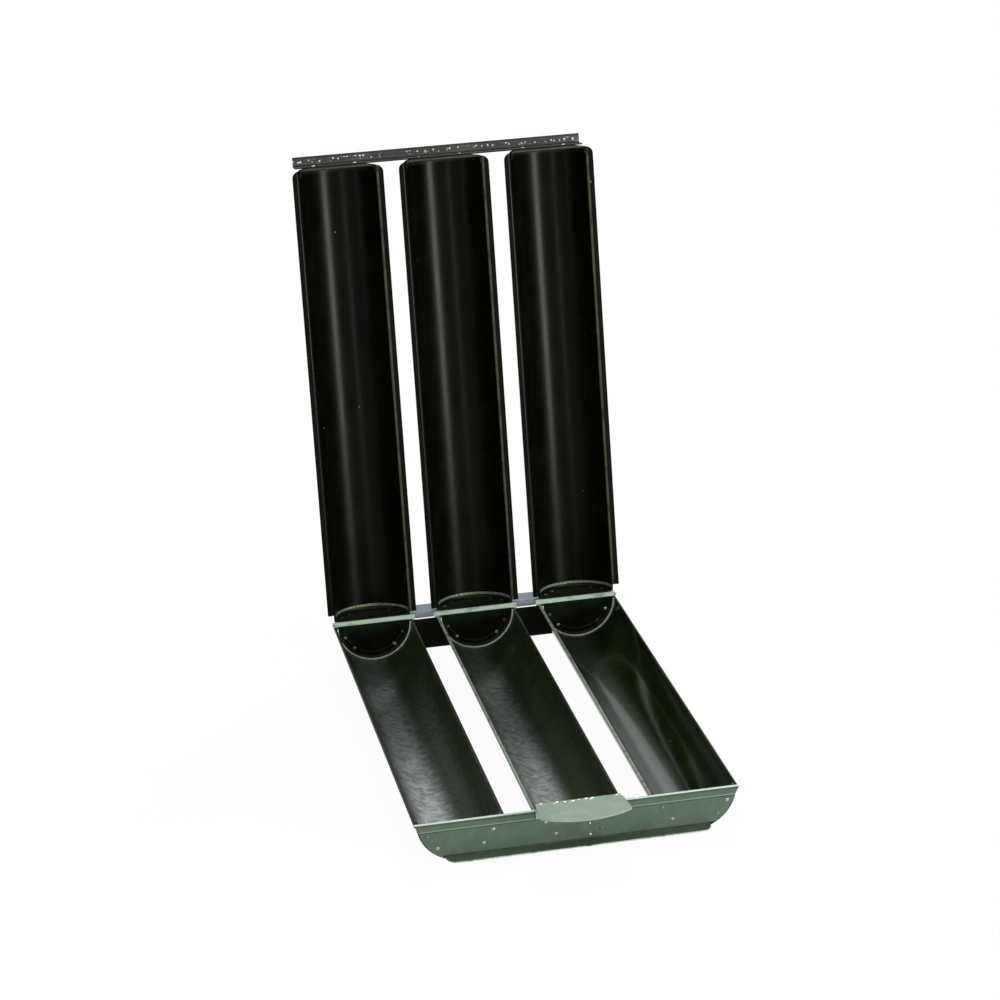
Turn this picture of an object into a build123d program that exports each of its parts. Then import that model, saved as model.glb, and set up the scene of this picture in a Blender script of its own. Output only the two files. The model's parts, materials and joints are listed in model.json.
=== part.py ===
from build123d import *
import os
from math import cos, pi, radians, sin, sqrt

# A hinged mould for three round baguettes, in coated sheet steel. The lower half lies on
# the ground and the upper half, the lid, stands open behind it, leaning back on two stops.
# Millimetres, +Z up, X across the troughs, -Y towards the handle. The origin is on the
# ground, under the middle of the lower half.
# The lid's pieces are drawn closed, over the lower half, and turned open about the hinge.

# Sheet and troughs
sheet = 0.8               # thickness of all pressed pieces
trough_r = 32.0           # inside radius of each half-round trough
trough_spacing = 90.0     # from one trough's centre to the next
base_length = 398.5       # from the hinge axis to the front plate's outer face
lid_length = 391.0        # from the hinge axis to the far ends of the lid's troughs
curl_r = 1.3              # outside radius of the rolled rim along each lower trough
curl_sheet = 0.5          # thickness of the thinned sheet in that roll
curl_slit = 0.3           # opening left where the roll closes on the wall

# Flat side flanges of the lid's troughs
lid_flange = 6.4          # from a trough's inside out to its flange's edge
lid_bend_r = 2.4          # inside radius of the bend between wall and flange
lid_corner_r = 6.0        # rounding of the flange's far corners
lid_flange_start = 8.3    # the outermost flanges begin this far from the hinge axis
lid_inner_start = 4.8     # the same for the flanges between the troughs

# Pressed half-round cups that close the troughs
cup_depth = 5.5           # length of a cup's flange inside its trough
cup_corner_r = 2.6        # outside radius between a cup's face and its flange
cup_corner_flats = 2      # flats that make up that rounding
cup_sides = 16            # flats round a cup's half turn, which keeps twelve of them light

# End plates
plate_inset = 0.1         # the plates' lower corners inside the outer troughs' curve
plate_lift = 2.4          # the plates' bottom edge above the troughs' inside
plate_overhang = 2.0      # the plate's top beyond the outer troughs' walls
hem_depth = 6.4           # height of the folded hem along the front plate's top edge
hem_rise = 0.9            # the hem's top above the rims
hem_gap = 0.6             # space inside the folded hem
front_foot = 10.5         # width of the strip turned outward at the front plate's bottom
rear_foot = 8.0           # the same on the two plates at the hinge
foot_bend_r = 1.0         # inside radius of that bend
front_foot_corner_r = 10.0    # rounding of the front strip's corners
rear_foot_corner_r = 7.0

# Angle strip across the lid's far end
angle_overhang = 0.8      # its ends beyond the outer troughs' walls
angle_sheet = 1.0
angle_out = 7.6           # leg that stands out beyond the troughs
angle_down = 13.4         # leg that lies on the cups' faces
angle_bend_r = 1.0        # inside radius of the bend

# Hinge
pin_r = 1.3
pin_play = 0.05           # radial clearance between pin and knuckles
pin_head_r = 2.0
pin_head = 0.8            # thickness of the pin's peened ends
axis_rise = 1.2           # hinge axis above the lower rims
lid_knuckle = 15.8        # length of the lid's two knuckles, in the gaps between troughs
hinge_overhang = 0.7      # the hinge's ends beyond the outer troughs' walls
knuckle_gap = 0.6         # between neighbouring knuckles
relief = 0.6              # clearance cut in a plate round the other plate's knuckles

# Stop tongues, lanced from the lower half's rear plate
open_angle = 98.0         # from closed to resting on the stops
stop_width = 14.0
stop_drop = 4.2           # where a tongue leaves the plate, below the hinge axis
stop_reach = 9.0          # from the hinge axis back to a tongue's tip
stop_clearance = 0.1

# Handle
handle_half = 32.6        # half the handle's width where it leaves the plate
handle_tip_half = 35.2    # half its width at the outer corners
handle_side = 27.5        # from the plate out to those corners
handle_reach = 37.5       # from the plate out to the middle of the curved edge
handle_sheet = 1.2
handle_height = 7.2       # top of the handle above the rims
handle_bend_r = 1.2       # inside radius of its bend
handle_leg = 13.0         # height of the leg that is riveted to the hem
handle_corner_r = 2.5

# Rivets
rivet_r = 1.0
rivet_head_r = 1.7
rivet_head = 0.8
rivet_sides = 8           # flat sides of a rivet and of its hole, which keeps 44 of them light
rivet_hole_play = 0.05
rivet_inset = 4.7         # from a trough's inside in to the arc of its rivets
rivet_angles = (23.0, 50.0)   # below the rims, on both sides
handle_rivet_x = 22.0
handle_rivet_drop = 3.0   # below the rims

# Clearances
seat = 0.05               # between sheets that are fastened face to face
closed_gap = 0.3          # between the lid's flanges and the lower rims when closed

# Working values
margin = 1.0              # how far a cutting shape passes beyond what it cuts
same = 0.02               # two points nearer than this are one

# Derived places
lid_flange_half = trough_r + lid_flange
plate_r = trough_r - plate_inset          # about the outer troughs' centres
plate_depth = trough_r - plate_lift       # from the rims down to the plate's bottom edge
rivet_circle_r = trough_r - rivet_inset   # about a trough's centre
plate_half = trough_spacing + trough_r + sheet + plate_overhang
angle_half = trough_spacing + trough_r + sheet + angle_overhang
rim_z = trough_r + sheet
axis_y = base_length / 2
axis_z = rim_z + axis_rise
knuckle_bore = pin_r + pin_play
knuckle_r = knuckle_bore + sheet
rear_face = axis_y - knuckle_r            # inner face of both plates at the hinge
front_face = axis_y - base_length + sheet  # inner face of the front plate
lid_rim_z = rim_z + closed_gap
lid_end = axis_y - lid_length
trough_x = {"left": -trough_spacing, "middle": 0.0, "right": trough_spacing}
cup_r = trough_r - seat
plate_bottom = rim_z - plate_depth
hem_r = hem_gap / 2 + sheet               # outside radius of the folded edge
hem_outer = front_face - 2 * sheet - hem_gap
hinge_half = trough_spacing + trough_r + sheet + hinge_overhang


def along_y(profile, y_rear, y_front):
    """Extrude a profile, drawn looking along +Y, from y_rear forward to y_front."""
    return extrude(Plane.XZ.offset(-y_rear) * profile, y_rear - y_front)


def across(section, x_low, x_high):
    """Extrude a section drawn in the YZ plane from x_low to x_high."""
    return extrude(Plane.YZ.offset(x_low) * section, x_high - x_low)


def rect(x_low, x_high, y_low, y_high):
    """A rectangle by its limits."""
    centre = Pos((x_low + x_high) / 2, (y_low + y_high) / 2)
    return centre * Rectangle(x_high - x_low, y_high - y_low)


def corner(shape, x, y):
    """The sketch's vertices at plus or minus x, and at y."""
    return [v for v in shape.vertices() if abs(abs(v.X) - x) < same and abs(v.Y - y) < same]


def open_lid(piece):
    """Turn a piece of the closed lid back to where it rests on the stops."""
    return piece.rotate(Axis((0, axis_y, axis_z), (1, 0, 0)), -open_angle)


def base_trough(x):
    """Half-round trough with a rolled rim along both edges."""
    centre_z = -curl_r
    wide = 2 * (trough_r + sheet)
    wall = Circle(trough_r + sheet) - Circle(trough_r)
    wall -= rect(-wide, wide, centre_z, wide)
    # The roll starts at the wall's inner face, goes up, over and down, and stops short of the wall.
    roll = Circle(curl_r) - Circle(curl_r - curl_sheet)
    roll -= rect(-curl_r - margin, sheet - curl_r + curl_slit, -curl_r - margin, 0)
    roll_x = sqrt(trough_r ** 2 - curl_r ** 2) + curl_r
    profile = wall + Pos(roll_x, centre_z) * roll + Pos(-roll_x, centre_z) * mirror(roll, Plane.YZ)
    return along_y(Pos(x, rim_z) * profile, rear_face - seat, front_face + seat)


def lid_trough(x):
    """Half-round trough with a flat flange along both edges, drawn closed."""
    wide = 2 * lid_flange_half
    profile = Circle(trough_r + sheet) + rect(-lid_flange_half, lid_flange_half, 0, sheet)
    profile -= Circle(trough_r)
    profile -= rect(-wide, wide, -wide, 0)
    outer_x = sqrt((trough_r + sheet) ** 2 - sheet ** 2)
    profile = fillet(corner(profile, outer_x, sheet), lid_bend_r)
    profile = fillet(corner(profile, trough_r, 0), lid_bend_r + sheet)
    trough = along_y(Pos(x, lid_rim_z) * profile, rear_face - seat, lid_end)
    # The flanges stop short of the hinge, and their far corners are rounded.
    keep = rect(-trough_r - sheet, trough_r + sheet, lid_end, rear_face)
    for side in (-1, 1):
        outermost = abs(x + side * trough_spacing) > trough_spacing
        start = lid_flange_start if outermost else lid_inner_start
        flange = rect(*sorted((0, side * lid_flange_half)), lid_end, axis_y - start)
        keep += fillet(corner(flange, lid_flange_half, lid_end), lid_corner_r)
    return trough & extrude(Plane.XY.offset(lid_rim_z) * Pos(x, 0) * keep, trough_r + sheet)


def end_cup(x, face_y, inward, level, up, more_holes=()):
    """Half of a drawn cup: a flat face at face_y, and a flange that runs into the trough."""
    place = Plane(origin=(x, face_y, level), x_dir=(1, 0, 0), z_dir=(0, inward, 0))
    outside = cup_bend(cup_corner_r) + [(cup_r, cup_depth)]
    inside = cup_bend(cup_corner_r - sheet) + [(cup_r - sheet, cup_depth + margin)]
    cup = drawn_through(place, outside) - drawn_through(place, inside)
    cup = split(cup, Plane.XY.offset(level), Keep.TOP if up else Keep.BOTTOM)
    for hole_x, hole_z in rivet_places(x, level, up) + list(more_holes):
        cup -= bore_y(hole_x, hole_z, face_y - sheet, face_y + sheet)
    return cup


def cup_bend(radius):
    """The bend between a cup's face and flange, in flats: distance from the axis, and depth."""
    turns = [pi / 2 * i / cup_corner_flats for i in range(cup_corner_flats + 1)]
    return [(cup_r - cup_corner_r + radius * sin(t), cup_corner_r - radius * cos(t)) for t in turns]


def drawn_through(place, rings):
    """A solid through many-sided rings, each given by its radius and its depth from a plane."""
    return loft([place.offset(depth) * RegularPolygon(radius, 2 * cup_sides)
                 for radius, depth in rings], ruled=True)


def rivet_places(x, level, up):
    """The four rivets of one trough's end, two on each side."""
    places = []
    for angle in rivet_angles:
        drop = rivet_circle_r * sin(radians(angle)) * (1 if up else -1)
        for side in (-1, 1):
            places.append((x + side * rivet_circle_r * cos(radians(angle)), level + drop))
    return places


def bore_y(x, z, y_low, y_high, radius=rivet_r + rivet_hole_play):
    """A rivet's hole along Y, cut past both faces of the sheets it passes."""
    return bar_y(x, z, radius, y_low - sheet, y_high + sheet)


def bar_y(x, z, radius, y_low, y_high):
    """A bar along Y with as many flat sides as a rivet."""
    return along_y(Pos(x, z) * RegularPolygon(radius, rivet_sides), y_high, y_low)


def rivet(x, z, y_low, y_high):
    """A rivet along Y that grips from y_low to y_high, with a low head on each side."""
    shank = bar_y(x, z, rivet_r, y_low, y_high)
    front = bar_y(x, z, rivet_head_r, y_low - rivet_head, y_low)
    return shank + front + bar_y(x, z, rivet_head_r, y_high, y_high + rivet_head)


def plate_outline(top, band, top_half):
    """An end plate seen along the troughs, from its bottom edge up to top. The lower corners
    follow the outer troughs, and over the band below the rims the sides slope out."""
    low = rim_z - band
    low_half = trough_spacing + sqrt(plate_r ** 2 - band ** 2)
    body = rect(-trough_spacing, trough_spacing, rim_z - plate_r, rim_z)
    for side in (-1, 1):
        body += Pos(side * trough_spacing, rim_z) * Circle(plate_r)
    body -= rect(-2 * top_half, 2 * top_half, rim_z - band, rim_z + 2 * plate_r)
    body -= rect(-2 * top_half, 2 * top_half, rim_z - 2 * plate_r, plate_bottom)
    top_edge = Polyline([(-low_half, low), (low_half, low), (top_half, top),
                         (-top_half, top)], close=True)
    return body + make_face(top_edge)


def foot(inner_face, outward, width, corner_r):
    """The strip turned outward along a plate's bottom edge, with its bend."""
    half = trough_spacing + sqrt(plate_r ** 2 - plate_depth ** 2)
    edge = inner_face + outward * (sheet + width)
    ends = sorted((inner_face, edge))
    tall = 2 * (foot_bend_r + sheet)
    low, high = plate_bottom, plate_bottom + tall
    section = rect(ends[0], ends[1], low, low + sheet)
    section += rect(*sorted((inner_face, inner_face + outward * sheet)), low, high)
    inside = (inner_face + outward * sheet, low + sheet)
    outside = (inner_face, low)
    section = fillet([v for v in section.vertices() if near(v, inside)], foot_bend_r)
    section = fillet([v for v in section.vertices() if near(v, outside)], foot_bend_r + sheet)
    strip = across(section, -half, half)
    plan = rect(-half, half, *ends)
    plan = fillet([v for v in plan.vertices() if abs(v.Y - edge) < same], corner_r)
    return strip & extrude(Plane.XY.offset(low) * plan, tall)


def near(vertex, point):
    """Whether a sketch's vertex lies at a point."""
    return abs(vertex.X - point[0]) < same and abs(vertex.Y - point[1]) < same


def rounded_bottom(inner_face, outward):
    """What the foot's bend leaves off the plate's flat sheet."""
    sides = sorted((inner_face - outward * margin, inner_face + outward * (sheet + margin)))
    section = rect(*sides, plate_bottom - margin, plate_bottom + foot_bend_r + sheet)
    return across(section, -2 * plate_half, 2 * plate_half)


# The x limits of the lid's knuckles, and of the lower half's, which fill the rest of the pin.
slot_x = trough_spacing / 2
slot_half = lid_knuckle / 2 + knuckle_gap
lid_spans = [(x - lid_knuckle / 2, x + lid_knuckle / 2) for x in (-slot_x, slot_x)]
base_spans = [(-hinge_half, -slot_x - slot_half), (slot_half - slot_x, slot_x - slot_half),
              (slot_x + slot_half, hinge_half)]


def knuckles(spans, direction):
    """Sheet rolled round the pin, joined to a plate that leaves it up (1) or down (-1)."""
    ring = Circle(knuckle_r) - Circle(knuckle_bore)
    tail = rect(-knuckle_r, -knuckle_bore, *sorted((0, direction * (knuckle_r + relief + margin))))
    # The roll's free edge stops short of the plate.
    slit = rect(-knuckle_bore, -pin_r / 2, *sorted((0, direction * knuckle_r)))
    section = Pos(axis_y, axis_z) * (ring - slit + tail)
    rolled = [across(section, low, high) for low, high in spans]
    return rolled


def clear_round(spans, direction):
    """Room in a plate round the other plate's knuckles."""
    reach = knuckle_r + relief
    section = rect(axis_y - knuckle_r - margin, axis_y + knuckle_r + margin,
                   *sorted((axis_z - direction * reach, axis_z + direction * reach)))
    return [across(section, low - knuckle_gap, high + knuckle_gap) for low, high in spans]


def base_front_plate():
    """Front plate: hemmed along the top, with a strip turned outward along the bottom."""
    top = rim_z + hem_rise
    outline = plate_outline(top, hem_depth, plate_half)
    flat = along_y(outline, front_face, front_face - sheet)
    flat -= rounded_bottom(front_face, -1)
    strip = foot(front_face, -1, front_foot, front_foot_corner_r)
    # The hem: up the plate, over a half-round fold, and down its outer side.
    fold = Pos(front_face - sheet - hem_gap / 2, top - hem_r) * (Circle(hem_r) - Circle(hem_gap / 2))
    fold -= rect(hem_outer - margin, front_face + margin, rim_z - hem_depth, top - hem_r)
    legs = rect(front_face - sheet, front_face, rim_z - hem_depth, top - hem_r)
    legs += rect(hem_outer, hem_outer + sheet, rim_z - hem_depth, top - hem_r)
    hem = across(fold + legs, -plate_half, plate_half)
    hem &= along_y(outline, front_face, hem_outer)
    above = across(rect(hem_outer, front_face + margin, top - hem_r, top + margin),
                   -2 * plate_half, 2 * plate_half)
    plate = (flat - above) + hem + strip
    for x in trough_x.values():
        for hole_x, hole_z in rivet_places(x, rim_z, False):
            plate -= bore_y(hole_x, hole_z, front_face - sheet, front_face)
    for hole_x, hole_z in handle_rivet_places():
        plate -= bore_y(hole_x, hole_z, hem_outer, front_face)
    return plate


def hinge_plate_blank():
    """The sheet that both plates at the hinge start from, with its bottom strip."""
    outline = plate_outline(axis_z, curl_r, hinge_half)
    flat = along_y(outline, rear_face + sheet, rear_face)
    flat -= rounded_bottom(rear_face, 1)
    return flat + foot(rear_face, 1, rear_foot, rear_foot_corner_r)


def base_back_plate():
    """Rear plate: long knuckles rolled round the pin, two lanced stops, a strip below."""
    outer = rear_face + sheet
    plate = hinge_plate_blank()
    for gap in clear_round(lid_spans, -1):
        plate -= gap
    for roll in knuckles(base_spans, -1):
        plate += roll
    for x in (-trough_spacing, trough_spacing):
        plate -= stop_window(x)
        plate += stop_tongue(x)
    for x in trough_x.values():
        for hole_x, hole_z in rivet_places(x, rim_z, False):
            plate -= bore_y(hole_x, hole_z, rear_face, outer)
    return plate


def stop_line():
    """Root and tip of a stop tongue's upper face, in Y and Z."""
    lean = radians(open_angle - 90)
    root = (rear_face, axis_z - stop_drop)
    # The lid's rear plate lies on the tip: its outer face is a knuckle's bore off the axis.
    off = knuckle_bore - stop_clearance
    tip_z = axis_z + (off - stop_reach * sin(lean)) / cos(lean)
    return root, (axis_y + stop_reach, tip_z)


def stop_tongue(x):
    """A tongue bent out of the rear plate, rising to meet the open lid's rear plate."""
    root, tip = stop_line()
    run = sqrt((tip[0] - root[0]) ** 2 + (tip[1] - root[1]) ** 2)
    side = ((tip[1] - root[1]) / run * sheet, -(tip[0] - root[0]) / run * sheet)
    lower = [(tip[0] + side[0], tip[1] + side[1]), (root[0] + side[0], root[1] + side[1])]
    tongue = across(make_face(Polyline([root, tip] + lower, close=True)),
                    x - stop_width / 2, x + stop_width / 2)
    behind = across(rect(rear_face - sheet - margin, rear_face, 0, 2 * axis_z),
                    x - stop_width, x + stop_width)
    return tongue - behind


def stop_window(x):
    """The opening that a lanced tongue leaves below its root."""
    root, tip = stop_line()
    run = sqrt((tip[0] - root[0]) ** 2 + (tip[1] - root[1]) ** 2)
    high = root[1] - sheet
    section = rect(rear_face - margin, rear_face + sheet + margin, high - run, high)
    return across(section, x - stop_width / 2 - seat, x + stop_width / 2 + seat)


def lid_hinge_plate():
    """The lid's plate at the hinge, drawn closed, with its two short knuckles."""
    outer = rear_face + sheet
    plate = mirror(hinge_plate_blank(), Plane.XY.offset(axis_z))
    for gap in clear_round(base_spans, 1):
        plate -= gap
    for roll in knuckles(lid_spans, 1):
        plate += roll
    level = lid_rim_z
    for x in trough_x.values():
        for hole_x, hole_z in rivet_places(x, level, True):
            plate -= bore_y(hole_x, hole_z, rear_face, outer)
    return plate


def lid_end_angle():
    """Angle strip across the far ends, drawn closed: one leg on the cups, one standing out."""
    crown = lid_rim_z + trough_r - sheet
    face = lid_end - seat
    section = rect(face - angle_sheet - angle_out, face, crown - angle_sheet, crown)
    section += rect(face - angle_sheet, face, crown - angle_down, crown)
    inner = (face - angle_sheet, crown - angle_sheet)
    section = fillet([v for v in section.vertices() if near(v, inner)], angle_bend_r)
    section = fillet([v for v in section.vertices() if near(v, (face, crown))],
                     angle_bend_r + angle_sheet)
    angle = across(section, -angle_half, angle_half)
    for x, z in lid_end_rivet_places():
        angle -= bore_y(x, z, face - angle_sheet, face)
    return angle


def lid_end_rivet_places():
    """The rivets high enough on the lid's far cups to pass the angle strip."""
    low = lid_rim_z + trough_r - sheet - angle_down
    places = [p for x in trough_x.values() for p in rivet_places(x, lid_rim_z, True)]
    return [p for p in places if p[1] > low + rivet_r]


def handle():
    """Handle: a leg riveted to the hem, bent out to a plate with a curved outer edge."""
    back = hem_outer - seat
    top = rim_z + handle_height
    section = rect(back - handle_reach, back, top - handle_sheet, top)
    section += rect(back - handle_sheet, back, top - handle_leg, top)
    inside = (back - handle_sheet, top - handle_sheet)
    section = fillet([v for v in section.vertices() if near(v, inside)], handle_bend_r)
    section = fillet([v for v in section.vertices() if near(v, (back, top))],
                     handle_bend_r + handle_sheet)
    bent = across(section, -handle_tip_half, handle_tip_half)
    left = (-handle_tip_half, back - handle_side)
    right = (handle_tip_half, back - handle_side)
    plan = make_face([Line((-handle_half, back), left),
                      ThreePointArc(left, (0, back - handle_reach), right),
                      Line(right, (handle_half, back)),
                      Line((handle_half, back), (-handle_half, back))])
    plan = fillet(corner(plan, handle_tip_half, back - handle_side), handle_corner_r)
    piece = bent & extrude(Plane.XY.offset(top - handle_leg) * plan, handle_leg)
    for hole_x, hole_z in handle_rivet_places():
        piece -= bore_y(hole_x, hole_z, back - handle_sheet, back)
    return piece


def handle_rivet_places():
    """Two rivets through the handle's leg, the hem and the middle trough's front cup."""
    return [(side * handle_rivet_x, rim_z - handle_rivet_drop) for side in (-1, 1)]


def hinge_pin():
    """One pin through all the knuckles, peened over at both ends."""
    half = hinge_half + knuckle_gap
    turn = Pos(0, axis_y, axis_z) * Rot(0, 90, 0)
    pin = turn * Cylinder(pin_r, 2 * half)
    for side in (-1, 1):
        pin += Pos(side * (half + pin_head / 2), 0, 0) * turn * Cylinder(pin_head_r, pin_head)
    return pin


def write(name, *pieces):
    """Write one node, whose pieces stay separate solids."""
    solids = [solid for piece in pieces for solid in piece.solids()]
    shape = solids[0] if len(solids) == 1 else Compound(children=solids)
    export_step(shape, os.path.join("parts", name + ".step"))


os.makedirs("parts", exist_ok=True)

write("base_front_plate", base_front_plate())
write("base_back_plate", base_back_plate())
write("handle", handle())
write("hinge_pin", hinge_pin())
write("lid_hinge_plate", open_lid(lid_hinge_plate()))
write("lid_end_angle", open_lid(lid_end_angle()))

for name, x in trough_x.items():
    write("base_trough_" + name, base_trough(x))
    write("lid_trough_" + name, open_lid(lid_trough(x)))
    shared = handle_rivet_places() if name == "middle" else ()
    write("base_front_cup_" + name, end_cup(x, front_face + seat, 1, rim_z, False, shared))
    write("base_back_cup_" + name, end_cup(x, rear_face - seat, -1, rim_z, False))
    write("lid_end_cup_" + name, open_lid(end_cup(x, lid_end, 1, lid_rim_z, True)))
    write("lid_hinge_cup_" + name, open_lid(end_cup(x, rear_face - seat, -1, lid_rim_z, True)))

base_ends = [p for x in trough_x.values() for p in rivet_places(x, rim_z, False)]
lid_ends = [p for x in trough_x.values() for p in rivet_places(x, lid_rim_z, True)]
cup_grip = sheet + seat
write("base_front_rivets", *[rivet(x, z, front_face - sheet, front_face + cup_grip)
                             for x, z in base_ends])
write("base_back_rivets", *[rivet(x, z, rear_face - cup_grip, rear_face + sheet)
                            for x, z in base_ends])
write("lid_hinge_rivets", *[open_lid(rivet(x, z, rear_face - cup_grip, rear_face + sheet))
                            for x, z in lid_ends])
write("lid_end_rivets", *[open_lid(rivet(x, z, lid_end - seat - angle_sheet, lid_end + sheet))
                          for x, z in lid_end_rivet_places()])
write("handle_rivets", *[rivet(x, z, hem_outer - seat - handle_sheet, front_face + cup_grip)
                         for x, z in handle_rivet_places()])
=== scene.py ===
import bpy
import json
import math
import bmesh
from mathutils import Matrix, Vector


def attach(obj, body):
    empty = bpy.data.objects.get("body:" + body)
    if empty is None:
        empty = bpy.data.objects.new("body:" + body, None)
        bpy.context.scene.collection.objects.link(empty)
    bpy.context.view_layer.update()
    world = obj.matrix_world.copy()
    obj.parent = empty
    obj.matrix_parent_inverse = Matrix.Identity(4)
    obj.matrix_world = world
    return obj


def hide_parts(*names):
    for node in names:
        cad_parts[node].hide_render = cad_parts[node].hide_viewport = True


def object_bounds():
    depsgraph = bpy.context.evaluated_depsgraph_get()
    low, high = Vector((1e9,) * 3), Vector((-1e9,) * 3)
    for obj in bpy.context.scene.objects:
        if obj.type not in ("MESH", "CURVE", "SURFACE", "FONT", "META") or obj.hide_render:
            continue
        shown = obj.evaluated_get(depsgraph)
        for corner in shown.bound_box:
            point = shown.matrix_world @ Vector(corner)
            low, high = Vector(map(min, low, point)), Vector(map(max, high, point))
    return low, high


# A hinged baguette mould in coated sheet steel: three troughs below, three in the open lid.
# Metres, +Z up, X across the troughs, -Y towards the handle.
# The lid's pieces are shaped closed over the lower half and turned open about the hinge.

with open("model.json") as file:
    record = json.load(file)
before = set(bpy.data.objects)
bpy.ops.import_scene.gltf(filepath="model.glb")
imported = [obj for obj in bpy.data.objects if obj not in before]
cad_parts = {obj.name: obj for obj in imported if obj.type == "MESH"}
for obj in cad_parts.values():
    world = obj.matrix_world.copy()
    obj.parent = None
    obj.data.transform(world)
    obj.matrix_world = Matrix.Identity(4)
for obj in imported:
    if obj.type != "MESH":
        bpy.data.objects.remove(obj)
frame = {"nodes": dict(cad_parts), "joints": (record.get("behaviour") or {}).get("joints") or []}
cad_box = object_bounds()
nodes = frame["nodes"]
hinge = Vector(frame["joints"][0]["pos_m"])

MM = 0.001
SHEET = 0.8 * MM
TROUGH_R = 32.0 * MM
PITCH = 90.0 * MM
SIDES = {"left": -PITCH, "middle": 0.0, "right": PITCH}
RIM_Z = TROUGH_R + SHEET
CLOSED_GAP = 0.3 * MM
LID_RIM_Z = RIM_Z + CLOSED_GAP
BASE_LENGTH = 398.5 * MM
LID_LENGTH = 391.0 * MM
CURL_R = 1.3 * MM
CURL_SHEET = 0.5 * MM
CURL_START = 172
CURL_END = -78
SEAT = 0.05 * MM
KNUCKLE_R = 2.15 * MM
REAR_FACE = hinge.y - KNUCKLE_R
FRONT_FACE = hinge.y - BASE_LENGTH + SHEET
LID_END = hinge.y - LID_LENGTH
FLANGE_HALF = 38.4 * MM
FLANGE_BEND_R = 2.4 * MM
FLANGE_CORNER_R = 6.0 * MM
FLANGE_START = 8.3 * MM
INNER_START = 4.8 * MM
CUP_R = TROUGH_R - SEAT
CUP_DEPTH = 5.5 * MM
CUP_CORNER_R = 2.6 * MM
CUP_BEAD_R = 26.6 * MM
OPEN_ANGLE = 98.0
RIVET_CIRCLE_R = 27.3 * MM
RIVET_ANGLES = (23.0, 50.0)
RIVET_HEAD_R = 1.7 * MM
RIVET_HEAD_H = 0.8 * MM
ANGLE_SHEET = 1.0 * MM
ANGLE_DOWN = 13.4 * MM
HANDLE_SHEET = 1.2 * MM
HEM_GAP = 0.6 * MM
HEM = 2 * SHEET + HEM_GAP
HEM_DEPTH = 6.4 * MM
PLATE_DEPTH = 29.6 * MM
PLATE_BOTTOM = RIM_Z - PLATE_DEPTH
STRIP_REACH = 10.5 * MM
FRONT_EDGE = FRONT_FACE - SHEET - STRIP_REACH
HANDLE_ROOT = FRONT_FACE - HEM - SEAT
ANGLE_FACE = LID_END - SEAT
GRIP_RIVET_X = 22.0 * MM
GRIP_RIVET_DROP = 3.0 * MM

# How finely the sheets are drawn, and how far their ripples push them inward.
TROUGH_STEPS = 26
CURL_STEPS = 20
FLANGE_BEND_STEPS = 9
SWEEP_ROWS = 160
CUP_STEPS = 56
CUP_BEND_STEPS = 6
DOUBLES_WITHIN = 0.001 * MM
CRINKLED_RIPPLE = 0.16 * MM
SMOOTH_RIPPLE = 0.05 * MM
LID_RIPPLE = 0.06 * MM

# The studio, in metres, and the camera, in degrees and millimetres of lens.
FLOOR_HALF = 4.0
FLOOR_DROP = 0.2 * MM
FLOOR_PAPER = (0.86, 0.86, 0.86, 1)
SHADOW_REACH = 0.25
WHITE_FROM = 0.6
WHITE_NEAR = 0.965
WORLD_TINT = (0.95, 0.98, 1.0, 1)
WORLD_STRENGTH = 0.5
LAMPS_LOOK_AT = Vector((0, 0.05, 0.15))
CAMERA_AZIMUTH = -10.70
CAMERA_ELEVATION = 20.29
CAMERA_ROLL = -2.40
CAMERA_LENS = 110.6
CAMERA_SENSOR = 36.0
CAMERA_FROM_HINGE = Vector((-432.6, -2426.6, 1011.0)) * MM

OPEN_LID = (Matrix.Translation(hinge) @ Matrix.Rotation(math.radians(-OPEN_ANGLE), 4, "X")
            @ Matrix.Translation(-hinge))
AS_DRAWN = Matrix.Identity(4)


# ---------------------------------------------------------------- node trees

class Feed:
    """An output socket. Arithmetic on feeds adds Math nodes to their tree."""

    def __init__(self, graph, socket):
        self.graph = graph
        self.socket = socket

    def _math(self, operation, first, second):
        return self.graph.node("ShaderNodeMath", {"operation": operation}, {0: first, 1: second})

    def __add__(self, other):
        return self._math("ADD", self, other)

    def __radd__(self, other):
        return self._math("ADD", other, self)

    def __sub__(self, other):
        return self._math("SUBTRACT", self, other)

    def __rsub__(self, other):
        return self._math("SUBTRACT", other, self)

    def __mul__(self, other):
        return self._math("MULTIPLY", self, other)

    def __rmul__(self, other):
        return self._math("MULTIPLY", other, self)

    def __gt__(self, other):
        return self._math("GREATER_THAN", self, other)

    def __lt__(self, other):
        return self._math("LESS_THAN", self, other)


class Graph:
    """A node tree, and a short way to add nodes to it with their settings and inputs."""

    def __init__(self, tree):
        self.tree = tree

    def node(self, kind, settings=None, inputs=None, output=0):
        made = self.tree.nodes.new(kind)
        for name, value in (settings or {}).items():
            if name == "stops":
                self._set_stops(made.color_ramp, value)
            else:
                setattr(made, name, value)
        for key, value in (inputs or {}).items():
            if isinstance(value, Feed):
                self.tree.links.new(value.socket, made.inputs[key])
            else:
                made.inputs[key].default_value = value
        return Feed(self, made.outputs[output]) if made.outputs else made

    @staticmethod
    def _set_stops(ramp, stops):
        while len(ramp.elements) < len(stops):
            ramp.elements.new(0.5)
        for element, (place, level) in zip(ramp.elements, stops):
            element.position = place
            element.color = (level, level, level, 1)

    def ramp(self, feed, *stops):
        return self.node("ShaderNodeValToRGB", {"stops": stops}, {"Fac": feed})

    def mix(self, factor, first, second):
        return self.node("ShaderNodeMix", {"data_type": "RGBA"}, {0: factor, 6: first, 7: second}, 2)


def shade(red, green, blue):
    """A screen colour, 0 to 255, as the linear values that a shader takes."""
    levels = [value / 255 for value in (red, green, blue)]
    return tuple(((v + 0.055) / 1.055) ** 2.4 if v > 0.04 else v / 12.92 for v in levels) + (1.0,)


# ---------------------------------------------------------------- finishes

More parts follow.
